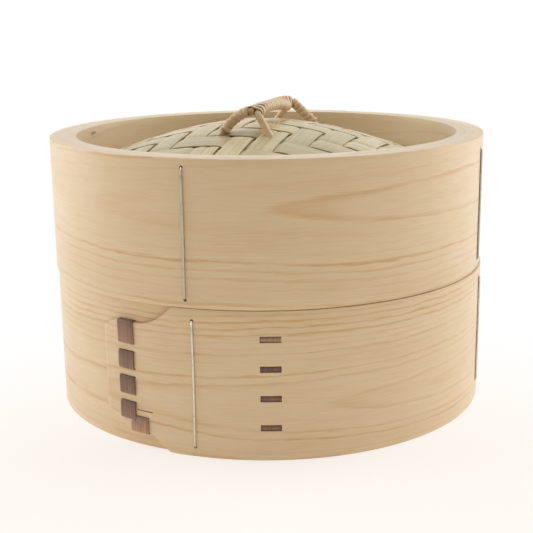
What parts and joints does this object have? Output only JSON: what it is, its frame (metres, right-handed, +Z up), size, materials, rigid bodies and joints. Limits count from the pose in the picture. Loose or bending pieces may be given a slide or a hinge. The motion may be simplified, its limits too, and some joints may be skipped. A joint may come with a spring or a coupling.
{
  "type": "steamer basket",
  "caption": "Round bentwood steamer tier with a slatted bamboo floor, bark-laced lap and wire staples, under a loose lid with a domed woven top and a bound cane handle.",
  "frame": {"origin": "centre of the tier's foot, on the surface it stands on", "axes": "+Z up along the rings' axis, -Y towards the front with the tier's laced lap left of centre, +X to the right"},
  "size_m": [0.2107, 0.21, 0.1442],
  "materials": {
    "pale_wood": "smooth bare softwood, fine grain",
    "inner_wood": "smooth bare softwood",
    "bamboo": "split bamboo, straight fibres",
    "woven_bamboo": "thin woven strips, satin",
    "cane": "peeled cane, satin",
    "bark": "thin polished bark strip",
    "wire": "drawn bright wire"
  },
  "bodies": {
    "tier": {"tier_outer_hoop": "pale_wood", "tier_upper_inner_hoop": "inner_wood", "tier_lower_inner_hoop": "inner_wood", "tier_lacing_left": "bark", "tier_lacing_tail": "bark", "tier_lacing_right": "bark", "tier_wire_1": "wire", "tier_wire_2": "wire", "tier_wire_3": "wire", "tier_wire_4": "wire", "tier_slat_01": "bamboo", "tier_slat_02": "bamboo", "tier_slat_03": "bamboo", "tier_slat_04": "bamboo", "tier_slat_05": "bamboo", "tier_slat_06": "bamboo", "tier_slat_07": "bamboo", "tier_slat_08": "bamboo", "tier_slat_09": "bamboo", "tier_slat_10": "bamboo", "tier_slat_11": "bamboo", "tier_slat_12": "bamboo", "tier_slat_13": "bamboo", "tier_crossbar_left": "bamboo", "tier_crossbar_right": "bamboo"},
    "lid": {"lid_outer_hoop": "pale_wood", "lid_upper_inner_hoop": "inner_wood", "lid_lower_inner_hoop": "inner_wood", "lid_lacing_left": "bark", "lid_lacing_tail": "bark", "lid_lacing_right": "bark", "lid_wire_1": "wire", "lid_wire_2": "wire", "lid_wire_3": "wire", "lid_wire_4": "wire", "lid_woven_top": "woven_bamboo", "lid_woven_lining": "woven_bamboo", "handle_arch_a": "cane", "handle_arch_b": "cane", "handle_grip_winding": "cane", "handle_leg_winding_front": "cane", "handle_leg_winding_rear": "cane"}
  },
  "joints": [
    {"name": "lid_lift", "type": "slide", "parent": "tier", "child": "lid", "axis": [0, 0, 1], "range_m": [0, 0.15]}
  ]
}
